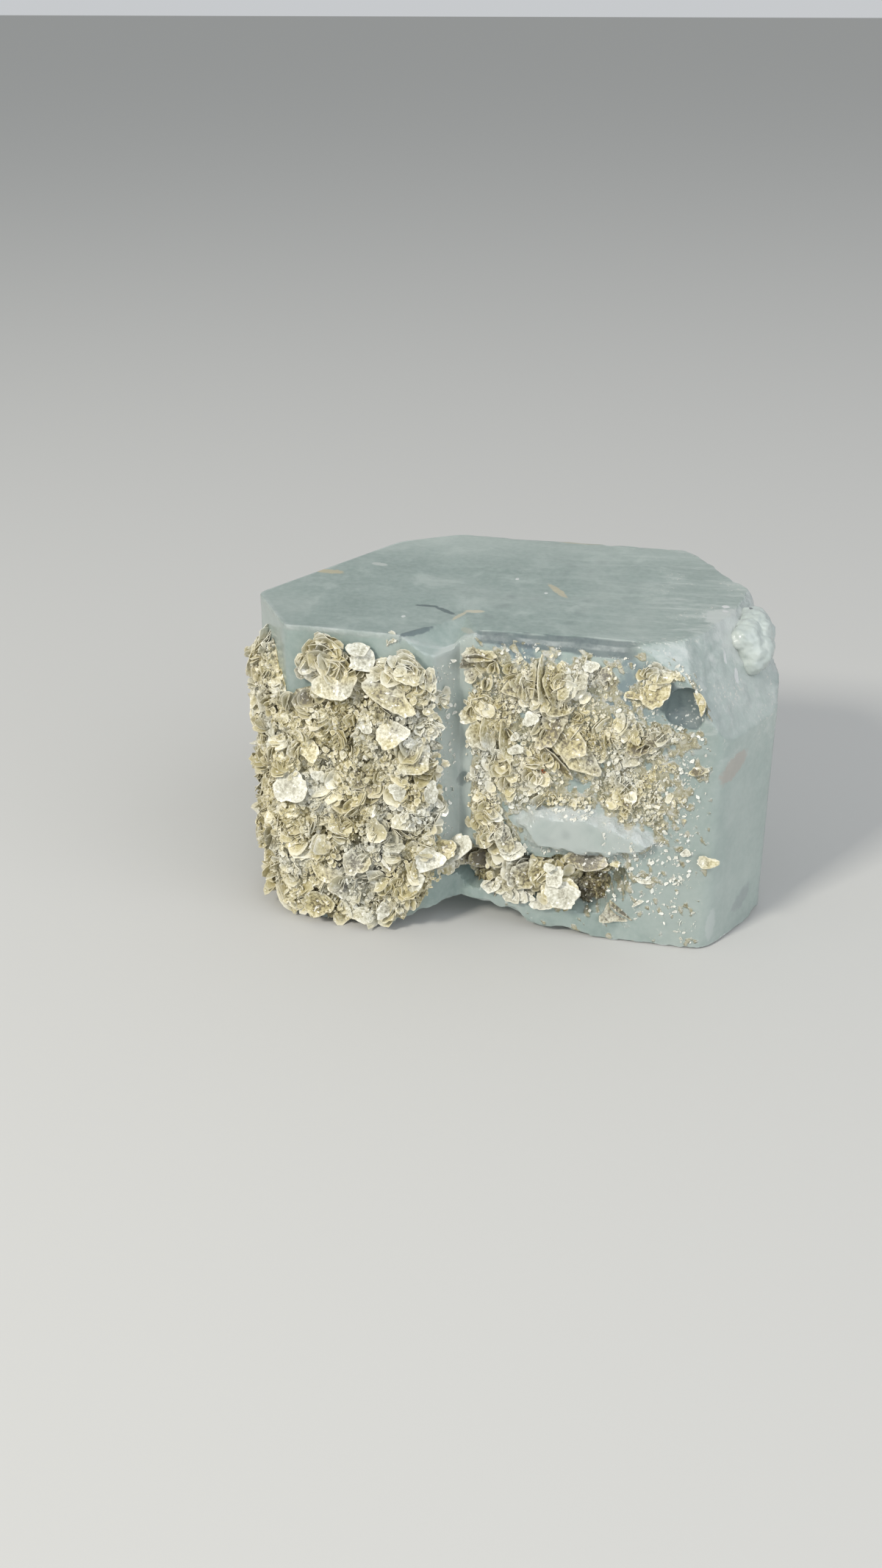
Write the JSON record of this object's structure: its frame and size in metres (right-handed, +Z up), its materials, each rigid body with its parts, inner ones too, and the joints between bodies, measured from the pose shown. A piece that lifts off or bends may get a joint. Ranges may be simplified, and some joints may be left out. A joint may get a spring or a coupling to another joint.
{
  "type": "aquamarine crystal specimen",
  "caption": "Stubby hexagonal aquamarine crystal on its broken base, with muscovite mica crusts on the front and left side, a mica-filled pocket and quartz grains on one corner.",
  "frame": {"origin": "middle of the specimen's box in plan, on the surface that it stands on", "axes": "+X along the front prism faces, from the mica-covered left side to the bare right side; +Y from front to back; +Z up along the prism"},
  "size_m": [0.0626, 0.0407, 0.037],
  "materials": {
    "beryl": "cloudy pale blue-grey, glossy growth faces",
    "mica": "pearly silver to straw-coloured scales",
    "quartz": "milky white broken grains"
  },
  "bodies": {
    "root": {"aquamarine_crystal": "beryl", "mica_crust_left": "mica", "mica_crust_right": "mica", "mica_pocket_books": "mica", "quartz_grains": "quartz"}
  },
  "joints": []
}
